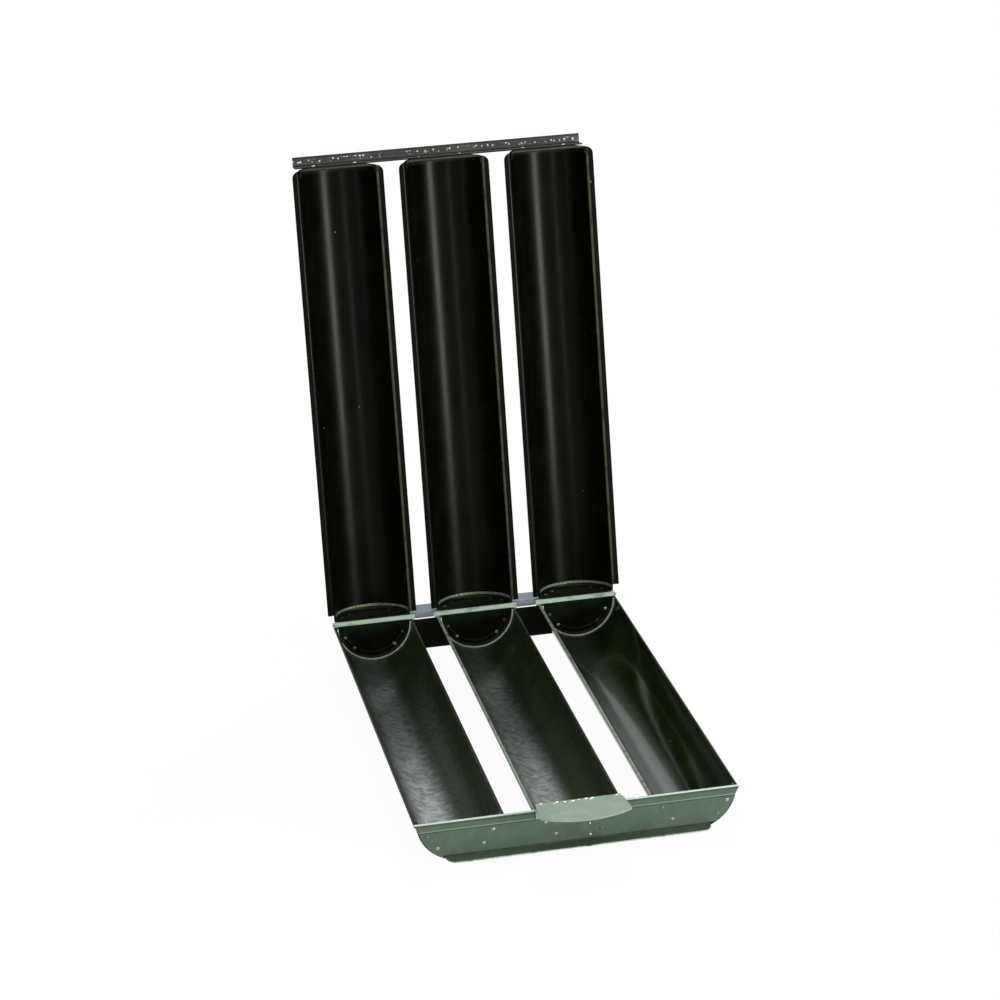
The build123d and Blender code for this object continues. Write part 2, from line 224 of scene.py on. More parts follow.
class Finish(Graph):
    """A material in progress: its tree, the place on the piece and the noise it is made with.
    With on_lid it sees the lid closed, so that heights and lengths read as they were drawn."""

    def __init__(self, name, on_lid=False):
        self.material = bpy.data.materials.new(name)
        self.material.use_nodes = True
        super().__init__(self.material.node_tree)
        self.tree.nodes.clear()
        shut = OPEN_LID.inverted() if on_lid else AS_DRAWN
        self.place = self.node("ShaderNodeMapping", {}, {
            "Vector": self.node("ShaderNodeTexCoord", output="Object"),
            "Location": shut.to_translation(), "Rotation": shut.to_euler()})

    def stretched(self, x, y, z):
        return self.node("ShaderNodeMapping", {}, {"Vector": self.place, "Scale": (x, y, z)})

    def along(self, axis):
        return self.node("ShaderNodeSeparateXYZ", {}, {0: self.place}, axis)

    def rise(self, value, low, high):
        """A smooth step: 0 up to low, 1 from high."""
        return self.node("ShaderNodeMapRange", {"interpolation_type": "SMOOTHSTEP"}, {
            0: value, 1: low, 2: high})

    def past(self, axis, level, soft=0.3 * MM):
        """0 before a level along X, Y or Z, and 1 past it."""
        return self.rise(self.along(axis), level - soft, level + soft)

    def between(self, axis, low, high, soft=0.3 * MM):
        return self.past(axis, low, soft) * (1.0 - self.past(axis, high, soft))

    def noise(self, scale, detail=2.0, rough=0.5, place=None, warp=0.0):
        return self.node("ShaderNodeTexNoise", {}, {
            "Vector": place or self.place, "Scale": scale, "Detail": detail,
            "Roughness": rough, "Distortion": warp})

    def patches(self, scale, low, high, detail=4.0, place=None):
        """Noise cut to islands: 0 below low, 1 above high."""
        return self.ramp(self.noise(scale, detail, 0.6, place), (low, 0.0), (high, 1.0))

    def specks(self, scale, size, share):
        """Small round spots on a share of a cell pattern's cells."""
        cells = {"Vector": self.place, "Scale": scale, "Randomness": 1.0}
        away = self.node("ShaderNodeTexVoronoi", {}, cells)
        lot = self.node("ShaderNodeTexVoronoi", {}, cells, "Color")
        chosen = self.node("ShaderNodeSeparateColor", {}, {"Color": lot}, "Red") > 1.0 - share
        return (away < size) * chosen

    def bump(self, height, strength, distance, under=None):
        inputs = {"Height": height, "Strength": strength, "Distance": distance}
        if under is not None:
            inputs["Normal"] = under
        return self.node("ShaderNodeBump", {}, inputs)

    def done(self, inputs):
        surface = self.node("ShaderNodeBsdfPrincipled", {}, inputs)
        self.node("ShaderNodeOutputMaterial", {}, {"Surface": surface})
        return self.material


def in_its_trough(made):
    """The distance to the right of the middle of the trough that a place lies in."""
    return made.node("ShaderNodeMath", {"operation": "WRAP"}, {
        0: made.along("X"), 1: PITCH / 2, 2: -PITCH / 2})


def trough_coating(name, gloss=0.2, crinkle=0.0, painted_sheen=0.0, rim_highlight_to=None):
    """Dark olive coating: gloss is how rough its shine is, crinkle how far it wrinkles across. A pale
    sheen is painted on its left as strongly as asked, strongest towards the front and fading towards
    the hinge where the lid shades it. A rim may get a painted highlight up to a place along X."""
    made = Finish(name)
    across = made.stretched(0.75, 1.0, 0.75)
    cloud = made.patches(34.0, 0.35, 0.7, 3.0)
    wrinkle = made.noise(190.0, 3.0, 0.6, across, 0.8)
    grain = made.noise(1400.0, 2.0)
    crease = made.ramp(wrinkle, (0.38, 1.0), (0.60, 0.0))
    side = in_its_trough(made)
    left = made.rise(side, -0.95 * TROUGH_R, -0.45 * TROUGH_R)
    left = left * (1.0 - made.rise(side, -0.15 * TROUGH_R, 0.45 * TROUGH_R))
    front = 1.0 - made.rise(made.along("Y"), FRONT_FACE, hinge.y)
    drop = made.along("Z") - RIM_Z
    inner = (side * side + drop * drop) < (TROUGH_R + 0.4 * MM) ** 2
    # Painted sheen on the left of the inside, strongest towards the front and fading towards the hinge
    # where the lid shades it; the creases break it up.
    grey = inner * left * (0.12 + 0.88 * front) * (1.0 - 0.65 * crease * crinkle) * painted_sheen
    pale = made.specks(120.0, 0.10, 0.05)
    tone = made.mix(cloud, shade(16, 24, 8), shade(27, 37, 15))
    tone = made.mix(grey, tone, shade(186, 192, 190))
    tone = made.mix(pale * 0.7, tone, shade(150, 152, 142))
    rough = gloss + 0.04 * cloud + 0.10 * grey
    # Painted highlight along the rolled rim, up to a place along X, broken by noise.
    if rim_highlight_to is not None:
        rim = (1.0 - made.past("X", rim_highlight_to)) * made.past("Z", RIM_Z - 3.4 * MM)
        rim = rim * made.patches(160.0, 0.25, 0.45)
        tone = made.mix(rim, tone, shade(124, 138, 122))
        rough = rough + 0.1 * rim
    normal = made.bump(grain, 0.08, 0.0003)
    normal = made.bump(wrinkle * inner, 0.04 + 0.9 * crinkle, 0.0012, normal)
    return made.done({"Base Color": tone, "Roughness": rough, "Normal": normal, "IOR": 1.25})


def lid_trough_coating():
    """Smooth dark coating that little food has touched, with a painted highlight along the bend to the
    right flange.
    """
    made = Finish("lid_trough_coating", True)
    cloud = made.patches(30.0, 0.35, 0.7, 3.0)
    grain = made.noise(1400.0, 2.0)
    side = in_its_trough(made)
    # Painted highlight along the convex bend into the right flange.
    bend = made.rise(side, TROUGH_R + 0.2 * MM, TROUGH_R + 0.9 * MM)
    bend = bend * (1.0 - made.rise(side, TROUGH_R + 1.8 * MM, TROUGH_R + 2.8 * MM))
    tone = made.mix(cloud, shade(4, 5, 1), shade(9, 11, 5))
    tone = made.mix(bend * made.patches(60.0, 0.2, 0.55), tone, shade(68, 75, 61))
    tone = made.mix(made.specks(120.0, 0.08, 0.03) * 0.6, tone, shade(140, 142, 132))
    rough = 0.26 + 0.04 * cloud
    return made.done({"Base Color": tone, "Roughness": rough, "IOR": 1.14,
                      "Normal": made.bump(grain, 0.06, 0.0003)})


def cup_coating():
    """The cups' dull dark coating."""
    made = Finish("cup_coating")
    cloud = made.patches(60.0, 0.35, 0.7, 3.0)
    grain = made.noise(1400.0, 2.0)
    tone = made.mix(cloud, shade(9, 12, 4), shade(18, 22, 12))
    return made.done({"Base Color": tone, "Roughness": 0.36 + 0.06 * cloud, "IOR": 1.2,
                      "Normal": made.bump(grain, 0.1, 0.0003)})


def plate_tone(made, low, high):
    """The clouded, finely grained tone that all the plates start from, its grain and its rubbing."""
    cloud = made.patches(30.0, 0.3, 0.7)
    grain = made.noise(900.0, 3.0, 0.6)
    rub = made.patches(140.0, 0.5, 0.75, 5.0)
    tone = made.mix(cloud, shade(*low), shade(*high))
    tone = made.mix(0.2 * rub, tone, shade(*[min(255, level * 1.35) for level in high]))
    return tone, cloud, grain, rub


def plate_done(made, tone, cloud, grain, rub, painted_glints, rough_low=0.42, ior=1.3):
    """A plate's surface: its tone with painted glints, made partly metallic, finely grained and a little
    worn.
    """
    # Painted glints: near-white spots, made partly metallic like bare steel.
    tone = made.mix(painted_glints, tone, shade(222, 224, 216))
    rough = rough_low + 0.16 * cloud + 0.10 * grain
    normal = made.bump(grain, 0.35, 0.0003)
    normal = made.bump(rub, 0.2, 0.0004, normal)
    return made.done({"Base Color": tone, "Roughness": rough, "Metallic": 0.7 * painted_glints,
                      "Normal": normal, "IOR": ior})


def front_plate_coating():
    """Grey-green plate: a painted highlight along its rim, a strip painted paler as lit, pale along the
    strip's edge, and painted shade in the folds, under the hem and just below the rim.
    """
    made = Finish("front_plate_coating")
    tone, cloud, grain, rub = plate_tone(made, (63, 76, 66), (76, 90, 79))
    # Painted highlight along the top of the hem.
    rim = made.past("Z", RIM_Z + 0.1 * MM, 0.2 * MM)
    edge = (1.0 - made.past("Y", FRONT_EDGE + 0.9 * MM)) * made.patches(120.0, 0.3, 0.5)
    hem_line = made.between("Z", RIM_Z - HEM_DEPTH - 1.2 * MM, RIM_Z - HEM_DEPTH + 0.1 * MM, 0.2 * MM)
    below_rim = made.between("Z", RIM_Z - 1.6 * MM, RIM_Z - 0.5 * MM)
    fold = made.between("Z", PLATE_BOTTOM + 0.9 * MM, PLATE_BOTTOM + 2.2 * MM)
    # Painted shade under the hem's lower edge, just below the rim and in the foot's fold.
    painted_shade = 0.85 * hem_line + 0.55 * below_rim + 0.9 * fold
    hem_edge = made.between("Z", RIM_Z - HEM_DEPTH, RIM_Z - HEM_DEPTH + 1.1 * MM, 0.2 * MM)
    tone = made.mix(0.5 * hem_edge, tone, shade(132, 146, 132))
    # The upward strip is painted paler, as lit from above.
    strip = 1.0 - made.past("Z", PLATE_BOTTOM + 0.9 * MM, 0.2 * MM)
    tone = made.mix(0.5 * strip, tone, shade(104, 114, 94))
    tone = made.mix(painted_shade * (0.6 + 0.4 * made.patches(90.0, 0.3, 0.6)), tone, shade(22, 27, 21))
    tone = made.mix(0.9 * rim + 0.7 * edge, tone, shade(188, 202, 190))
    # Sparse painted glints over the plate.
    return plate_done(made, tone, cloud, grain, rub, made.specks(220.0, 0.16, 0.015))


def back_plate_coating():
    """Plate painted nearly black as shade, with its knuckles painted pale where light falls on them."""
    made = Finish("back_plate_coating")
    # Painted shade: the plate is given a nearly black tone, as it stands in shade behind the troughs.
    tone, cloud, grain, rub = plate_tone(made, (6, 7, 3), (14, 15, 10))
    knuckle = made.past("Z", hinge.z - KNUCKLE_R - 0.4 * MM, 0.4 * MM)
    streak = made.noise(260.0, 3.0, 0.6, made.stretched(0.3, 1.0, 1.0))
    # Painted light: the knuckles are given a pale tone where light falls on them.
    tone = made.mix(knuckle, tone, shade(160, 173, 160))
    tone = made.mix(knuckle * made.ramp(streak, (0.55, 0.0), (0.68, 0.5)), tone, shade(60, 66, 52))
    # Painted glints along the knuckles.
    painted_glints = made.specks(240.0, 0.24, 0.10) * knuckle
    return plate_done(made, tone, cloud, grain, rub, painted_glints, 0.40, 1.14)


def lid_plate_coating():
    """The lid's plate at the hinge: painted pale and bluish as lit, duller along its knuckles, with
    painted glints there.
    """
    made = Finish("lid_plate_coating", True)
    # Painted light: the plate is given a pale bluish tone, as lit from the front.
    tone, cloud, grain, rub = plate_tone(made, (106, 115, 126), (122, 132, 144))
    low = 1.0 - made.past("Z", hinge.z + KNUCKLE_R + 1.0 * MM, 0.5 * MM)
    tone = made.mix(0.5 * low, tone, shade(60, 66, 62))
    # Painted glints along the knuckles.
    return plate_done(made, tone, cloud, grain, rub, made.specks(260.0, 0.2, 0.06) * low)


def angle_coating():
    """Grey strip: painted shade along its bend, dark along the top, rough and with painted glints along
    its middle.
    """
    made = Finish("angle_coating", True)
    tone, cloud, grain, rub = plate_tone(made, (62, 67, 61), (76, 81, 75))
    low = made.between("Y", ANGLE_FACE - 3.6 * MM, ANGLE_FACE - 1.6 * MM, 0.5 * MM)
    painted_bend_shade = made.past("Y", ANGLE_FACE - 1.5 * MM, 0.4 * MM)
    top = 1.0 - made.past("Y", ANGLE_FACE - 7.0 * MM, 0.4 * MM)
    middle = made.between("Y", ANGLE_FACE - 6.2 * MM, ANGLE_FACE - 3.2 * MM, 0.4 * MM)
    fading = 1.0 - 0.3 * made.past("X", 0.0, 60.0 * MM)
    tone = made.mix(0.6 * low, tone, shade(112, 114, 104))
    # Painted shade in the bend; the top edge is given the same dark tone.
    tone = made.mix(0.9 * painted_bend_shade + 0.7 * top, tone, shade(18, 21, 14))
    # Painted glints along the strip's middle.
    painted_glints = made.specks(430.0, 0.40, 0.45) * middle * fading
    return plate_done(made, tone, cloud, grain, rub, painted_glints)


def handle_coating():
    """Grey-green grip painted pale as its upward face is lit, with painted glints along its bend."""
    made = Finish("handle_coating")
    # Painted light: the grip is given a paler tone than the plates, as its upward face is lit.
    tone, cloud, grain, rub = plate_tone(made, (122, 135, 122), (136, 149, 136))
    bend = made.between("Y", HANDLE_ROOT - 5.0 * MM, HANDLE_ROOT - 1.8 * MM, 0.4 * MM)
    # Painted glints along the bend.
    painted_glints = made.specks(330.0, 0.38, 0.62) * bend
    return plate_done(made, tone, cloud, grain, rub, painted_glints, 0.38)


def bare_steel(name, low, high, rough_low, metal):
    """Plain steel of pins and cut edges, dulled here and there. On the cups' edges it is also a painted
    highlight.
    """
    made = Finish(name)
    dull = made.patches(300.0, 0.4, 0.65, 3.0)
    grain = made.noise(2200.0, 2.0)
    tone = made.mix(dull, shade(*high), shade(*low))
    rough = rough_low + 0.2 * dull + 0.08 * grain
    return made.done({"Base Color": tone, "Roughness": rough, "Metallic": metal * (1.0 - 0.4 * dull),
                      "Normal": made.bump(grain, 0.2, 0.0002)})


def rivet_finish(name, coat, bare_tone):
    """Rivets coated with their sheet, some of them worn bare, as their own shine says."""
    made = Finish(name)
    shine = made.node("ShaderNodeAttribute", {"attribute_name": "shine"}, {}, "Fac")
    bare = made.ramp(shine, (0.45, 0.0), (0.9, 1.0))
    grain = made.noise(1800.0, 2.0)
    tone = made.mix(bare, shade(*coat), shade(*bare_tone))
    rough = 0.38 - 0.08 * bare + 0.12 * grain
    return made.done({"Base Color": tone, "Roughness": rough, "Metallic": 0.4 * bare,
                      "Normal": made.bump(grain, 0.25, 0.0003)})


FINISH = {
    "left trough": trough_coating("left_trough_coating", 0.34, crinkle=0.8, painted_sheen=0.95),
    "middle trough": trough_coating("middle_trough_coating", 0.34, crinkle=0.8, painted_sheen=0.7,
                                    rim_highlight_to=0.4 * MM - TROUGH_R),
    "right trough": trough_coating("right_trough_coating", 0.11, crinkle=0.0, painted_sheen=0.3,
                                   rim_highlight_to=PITCH + 0.4 * MM - TROUGH_R),
    "lid trough": lid_trough_coating(),
    "cup": cup_coating(),
    "front plate": front_plate_coating(),
    "lid plate": lid_plate_coating(),
    "back plate": back_plate_coating(),
    "handle": handle_coating(),
    "angle": angle_coating(),
    # The cups' cut edges: nearly white and barely metallic, a painted highlight on bare steel, and a
    # dimmer copy for where less light reaches.
    "cut edge": bare_steel("cut_edge", (176, 190, 166), (222, 232, 214), 0.4, 0.1),
    "painted dim edge": bare_steel("dull_edge", (70, 78, 62), (112, 122, 102), 0.45, 0.1),
    "front rivet": rivet_finish("front_rivet_steel", (70, 84, 72), (132, 144, 130)),
    "dark rivet": rivet_finish("dark_rivet_steel", (46, 52, 42), (176, 182, 168)),
    "pin": bare_steel("pin_steel", (96, 100, 92), (168, 170, 160), 0.32, 0.75),
}


# ---------------------------------------------------------------- swept sheet

def arc(centre_x, centre_z, radius, start, end, steps):
    """Points of an arc in the XZ plane, its angles in degrees."""
    turns = [math.radians(start + (end - start) * i / steps) for i in range(steps + 1)]
    return [(centre_x + radius * math.cos(t), centre_z + radius * math.sin(t)) for t in turns]


def half_of_lower_section():
    """Right half of a lower trough's sheet, from its bottom to the end of its rolled rim."""
    low = math.degrees(math.asin(CURL_R / TROUGH_R))
    face = arc(0, 0, TROUGH_R, -90, -low, TROUGH_STEPS)
    back = arc(0, 0, TROUGH_R + SHEET, -90, -low, TROUGH_STEPS)
    roll_x = math.sqrt(TROUGH_R ** 2 - CURL_R ** 2) + CURL_R
    face += arc(roll_x, -CURL_R, CURL_R, CURL_START, CURL_END, CURL_STEPS)
    back += arc(roll_x, -CURL_R, CURL_R - CURL_SHEET, CURL_START, CURL_END, CURL_STEPS)
    return list(zip(face, back))


def half_of_lid_section():
    """Right half of a lid trough's sheet, closed, from its crown to its flange's edge."""
    outer = FLANGE_BEND_R + SHEET
    centre_x = math.sqrt((TROUGH_R + outer) ** 2 - outer ** 2)
    meet = math.degrees(math.atan2(outer, centre_x))
    face = arc(0, 0, TROUGH_R, 90, meet, TROUGH_STEPS)
    back = arc(0, 0, TROUGH_R + SHEET, 90, meet, TROUGH_STEPS)
    face += arc(centre_x, outer, outer, 180 + meet, 270, FLANGE_BEND_STEPS)[1:]
    back += arc(centre_x, outer, FLANGE_BEND_R, 180 + meet, 270, FLANGE_BEND_STEPS)[1:]
    for share in (0.3, 0.6, 0.8, 0.92, 1.0):
        x = centre_x + share * (FLANGE_HALF - centre_x)
        face.append((x, 0.0))
        back.append((x, SHEET))
    return list(zip(face, back))


def section_mesh(half, x_middle, level, trims):
    """The closed outline of a trough's sheet, with how far each point stops short of the ends."""
    whole = [((-f[0], f[1]), (-b[0], b[1])) for f, b in reversed(half[1:])] + half
    ring = [face for face, back in whole] + [back for face, back in reversed(whole)]
    if half[0][0][1] < 0:
        ring.reverse()    # the outline always runs the same way round, so that its faces look out
    mesh = bpy.data.meshes.new("section")
    mesh.from_pydata([(x_middle + x, 0, level + z) for x, z in ring], [], [])
    for name, trim in trims.items():
        layer = mesh.attributes.new(name, "FLOAT", "POINT")
        layer.data.foreach_set("value", [trim(x) for x, z in ring])
    return mesh


def no_trim(x):
    return 0.0


def rounded_corner(x):
    """What the rounding of a flange's far corner takes off its end."""
    out = abs(x) - (FLANGE_HALF - FLANGE_CORNER_R)
    return FLANGE_CORNER_R - math.sqrt(FLANGE_CORNER_R ** 2 - out ** 2) if out > 0 else 0.0


def flange_starts(x_middle):
    """A trough's flanges begin a little way from the hinge, the outermost ones further off."""
    def trim(x):
        if abs(x) <= TROUGH_R + SHEET:
            return 0.0
        outermost = abs(x_middle + math.copysign(PITCH, x)) > PITCH * 1.5
        return (FLANGE_START if outermost else INNER_START) - KNUCKLE_R - SEAT
    return trim


def named_input(tree, name, kind, value=None):
    made = tree.interface.new_socket(name, in_out="INPUT", socket_type=kind)
    if value is not None:
        made.default_value = value
    return made.identifier


def new_tree(name):
    """A geometry tree with its geometry in and out."""
    tree = bpy.data.node_groups.new(name, "GeometryNodeTree")
    tree.interface.new_socket("Geometry", in_out="INPUT", socket_type="NodeSocketGeometry")
    tree.interface.new_socket("Geometry", in_out="OUTPUT", socket_type="NodeSocketGeometry")
    return tree


def finish_tree(graph, geometry, material):
    whole = graph.node("GeometryNodeRealizeInstances", {}, {"Geometry": geometry})
    coated = graph.node("GeometryNodeSetMaterial", {}, {"Geometry": whole, "Material": material})
    graph.node("NodeGroupOutput", {}, {0: coated})


def swept_sheet_tree():
    """Sweeps a sheet's outline along Y. The first and last rows close the ends of the sheet."""
    tree = new_tree("swept sheet")
    ids = {name: named_input(tree, name, "NodeSocketFloat", value) for name, value in (
        ("Rear", 0.2), ("Front", -0.2), ("Wave height", 0.0), ("Wave scale", 60.0),
        ("Wave seed", 0.0))}
    ids["Rows"] = named_input(tree, "Rows", "NodeSocketInt", 120)
    ids["Finish"] = named_input(tree, "Finish", "NodeSocketMaterial")
    graph = Graph(tree)
    entry = tree.nodes.new("NodeGroupInput")
    given = {socket.name: Feed(graph, socket) for socket in entry.outputs if socket.name}
    section, rows = given["Geometry"], given["Rows"]
    around = graph.node("GeometryNodeAttributeDomainSize", {}, {0: section})
    grid = graph.node("GeometryNodeMeshGrid", {}, {
        "Size X": 1.0, "Size Y": 1.0, "Vertices X": around + 1.0, "Vertices Y": rows})
    spot = graph.node("GeometryNodeInputPosition")
    column = graph.node("ShaderNodeMath", {"operation": "ROUND"}, {
        0: (graph.node("ShaderNodeSeparateXYZ", {}, {0: spot}, "X") + 0.5) * around})
    row = (graph.node("ShaderNodeSeparateXYZ", {}, {0: spot}, "Y") + 0.5) * (rows - 1.0)
    index = graph.node("ShaderNodeMath", {"operation": "MODULO"}, {0: column, 1: around})
    mate = around - 1.0 - index

    def from_section(kind, value, at):
        return graph.node("GeometryNodeSampleIndex", {"data_type": kind, "domain": "POINT"}, {
            "Geometry": section, "Value": value, "Index": at})

    here = from_section("FLOAT_VECTOR", spot, index)
    there = from_section("FLOAT_VECTOR", spot, mate)
    middle = graph.node("ShaderNodeVectorMath", {"operation": "ADD"}, {0: here, 1: there})
    middle = graph.node("ShaderNodeVectorMath", {"operation": "SCALE"}, {0: middle, "Scale": 0.5})
    at_end = (row < 0.5) + (row > rows - 1.5)
    outline = graph.node("ShaderNodeMix", {"data_type": "VECTOR"}, {0: at_end, 4: here, 5: middle}, 1)
    trims = [from_section("FLOAT", graph.node(
        "GeometryNodeInputNamedAttribute", {"data_type": "FLOAT"}, {"Name": name}), index)
        for name in ("rear_trim", "front_trim")]
    share = graph.node("ShaderNodeMath", {"operation": "DIVIDE", "use_clamp": True}, {
        0: row - 1.0, 1: rows - 3.0})
    rear = given["Rear"] - trims[0]
    front = given["Front"] + trims[1]
    along = rear + share * (front - rear)
    parts = graph.node("ShaderNodeSeparateXYZ", {}, {0: outline})
    height = Feed(graph, parts.socket.node.outputs["Z"])
    place = graph.node("ShaderNodeCombineXYZ", {}, {"X": parts, "Y": along, "Z": height})
    sheet = graph.node("GeometryNodeSetPosition", {}, {"Geometry": grid, "Position": place})
    sheet = graph.node("GeometryNodeMergeByDistance", {}, {
        "Geometry": sheet, "Distance": DOUBLES_WITHIN})
    ripple = graph.node("ShaderNodeTexNoise", {"noise_dimensions": "4D"}, {
        "Vector": spot, "W": given["Wave seed"], "Scale": given["Wave scale"], "Detail": 2.0})
    normal = graph.node("GeometryNodeInputNormal")
    lift = (ripple - 1.0) * given["Wave height"]
    push = graph.node("ShaderNodeVectorMath", {"operation": "SCALE"}, {0: normal, "Scale": lift})
    sheet = graph.node("GeometryNodeSetPosition", {}, {"Geometry": sheet, "Offset": push})
    finish_tree(graph, sheet, given["Finish"])
    return tree, ids


def grown(mesh, name, tree, ids, values, turn):
    """The plain mesh that a tree makes from a drawn one, turned into place."""
    seed = bpy.data.objects.new("seed", mesh)
    bpy.context.scene.collection.objects.link(seed)
    modifier = seed.modifiers.new("grow", "NODES")
    modifier.node_group = tree
    for key, value in values.items():
        modifier[ids[key]] = value
    bpy.context.view_layer.update()
    ready = seed.evaluated_get(bpy.context.evaluated_depsgraph_get())
    plain = bpy.data.meshes.new_from_object(ready)
    plain.name = name
    plain.transform(turn)
    seed.modifiers.remove(modifier)
    bpy.data.objects.remove(seed)
    bpy.data.meshes.remove(mesh)
    piece = bpy.data.objects.new(name, plain)
    bpy.context.scene.collection.objects.link(piece)
    return piece


def tidy_faces(piece, sharp_degrees):
    """Outward normals, no doubles, and smooth shading that keeps the sheet's cut edges."""
    work = bmesh.new()
    work.from_mesh(piece.data)
    bmesh.ops.remove_doubles(work, verts=work.verts, dist=DOUBLES_WITHIN)
    bmesh.ops.recalc_face_normals(work, faces=work.faces)
    work.to_mesh(piece.data)
    work.free()
    piece.data.shade_smooth()
    piece.data.set_sharp_from_angle(angle=math.radians(sharp_degrees))


def add_piece(piece, body, slot, *stands_for):
    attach(piece, body)
    if stands_for:
        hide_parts(*stands_for)


def make_troughs():
    tree, ids = swept_sheet_tree()
    flat = {"rear_trim": no_trim, "front_trim": no_trim}
    for number, (side, x) in enumerate(SIDES.items()):
        section = section_mesh(half_of_lower_section(), x, RIM_Z, flat)
        lower = grown(section, "trough_" + side, tree, ids, {
            "Rear": REAR_FACE - SEAT, "Front": FRONT_FACE + SEAT, "Rows": SWEEP_ROWS,
            "Wave height": SMOOTH_RIPPLE if side == "right" else CRINKLED_RIPPLE,
            "Wave scale": 70.0, "Wave seed": number * 3.0, "Finish": FINISH[side + " trough"]}, AS_DRAWN)
        tidy_faces(lower, sharp_degrees=40)
        add_piece(lower, "base", "trough_coating", "base_trough_" + side)
        cut = {"rear_trim": flange_starts(x), "front_trim": rounded_corner}
        section = section_mesh(half_of_lid_section(), x, LID_RIM_Z, cut)
        upper = grown(section, "lid_trough_" + side + "_sheet", tree, ids, {
            "Rear": REAR_FACE - SEAT, "Front": LID_END, "Rows": SWEEP_ROWS, "Wave height": LID_RIPPLE,
            "Wave scale": 40.0, "Wave seed": 20.0 + number, "Finish": FINISH["lid trough"]}, OPEN_LID)
        tidy_faces(upper, sharp_degrees=40)
        add_piece(upper, "lid", "trough_coating", "lid_trough_" + side)


# ---------------------------------------------------------------- drawn cups

def cup_outline():
    """A cup's section from its middle to its flange's edge: distance from the axis, and depth.
    A shallow pressed bead runs round its face."""
    bead = 0.35 * MM
    raised = [(CUP_BEAD_R - 0.8 * MM, 0.0), (CUP_BEAD_R - 0.3 * MM, bead), (CUP_BEAD_R, 1.3 * bead),
              (CUP_BEAD_R + 0.3 * MM, bead), (CUP_BEAD_R + 0.8 * MM, 0.0)]
    bend = [math.radians(-90 + 90 * i / CUP_BEND_STEPS) for i in range(CUP_BEND_STEPS + 1)]
    centre = (CUP_R - CUP_CORNER_R, CUP_CORNER_R)

    def line(depth, radius):
        found = [(CUP_BEAD_R * s, depth) for s in (0.0, 0.4, 0.8)]
        found += [(r, depth + (lift if depth else 0.0)) for r, lift in raised]
        found += [(centre[0] + radius * math.cos(t), centre[1] + radius * math.sin(t)) for t in bend]
        return found

    # The edge finish runs 2 mm into the flange's inside, a painted highlight that widens the cut edge's
    # line.
    painted_edge_from = CUP_DEPTH - 2.0 * MM
    outside = line(0.0, CUP_CORNER_R) + [(CUP_R, painted_edge_from), (CUP_R, CUP_DEPTH)]
    inside = line(SHEET, CUP_CORNER_R - SHEET) + [(CUP_R - SHEET, painted_edge_from), (CUP_R - SHEET, CUP_DEPTH)]
    return outside + inside[::-1]


def make_cup(name, body, x, face_y, inward, level, rise, turn, node, edge="cut edge"):
    """Half a turn of the cup's section about the trough's axis. rise is 1 for the closed lid."""
    outline = cup_outline()
    verts, faces, bare = [], [], []
    for step in range(CUP_STEPS + 1):
        angle = math.pi * step / CUP_STEPS
        for r, depth in outline:
            verts.append((x + r * math.cos(angle), face_y + inward * depth,
                          level + rise * r * math.sin(angle)))
    count = len(outline)
    half = count // 2
    for step in range(CUP_STEPS):
        for i in range(count):
            a, b = step * count + i, step * count + (i + 1) % count
            faces.append((a, b, b + count, a + count))
            # Faces at the cut edge and the band inside it take the edge finish: bare steel with painted
            # highlight.
            bare.append(half - 1 <= i <= half)
    for row in (0, CUP_STEPS):
        for i in range(half - 1):
            a = row * count
            quad = (a + i, a + i + 1, a + count - 2 - i, a + count - 1 - i)
            faces.append(quad if row else quad[::-1])
            bare.append(False)
    mesh = bpy.data.meshes.new(name)
    mesh.from_pydata(verts, [], faces)
    mesh.materials.append(FINISH["cup"])
    mesh.materials.append(FINISH[edge])
    mesh.polygons.foreach_set("material_index", [int(flag) for flag in bare])
    mesh.transform(turn)
    piece = bpy.data.objects.new(name, mesh)
    bpy.context.scene.collection.objects.link(piece)
    tidy_faces(piece, sharp_degrees=35)
    add_piece(piece, body, "cup_coating", node)


def make_cups():
    for side, x in SIDES.items():
        make_cup("front_cup_" + side, "base", x, FRONT_FACE + SEAT, 1, RIM_Z, -1, AS_DRAWN,
                 "base_front_cup_" + side)
        make_cup("back_cup_" + side, "base", x, REAR_FACE - SEAT, -1, RIM_Z, -1, AS_DRAWN,
                 "base_back_cup_" + side)
        # The lid's far cups keep their cut edge in the dark cup coating as painted shade; the near cups
        # take the dimmer painted copy.
        make_cup("lid_far_cup_" + side, "lid", x, LID_END, 1, LID_RIM_Z, 1, OPEN_LID,
                 "lid_end_cup_" + side, "cup")
        make_cup("lid_near_cup_" + side, "lid", x, REAR_FACE - SEAT, -1, LID_RIM_Z, 1, OPEN_LID,
                 "lid_hinge_cup_" + side, "painted dim edge")


# ---------------------------------------------------------------- rivets

def end_rivets(level, rise):
    """X and Z of the four rivets at each trough's end."""
    found = []
    for x in SIDES.values():
        for angle in RIVET_ANGLES:
            turn = math.radians(angle)
            for side in (-1, 1):
                found.append((x + side * RIVET_CIRCLE_R * math.cos(turn),
                              level + rise * RIVET_CIRCLE_R * math.sin(turn)))
    return found


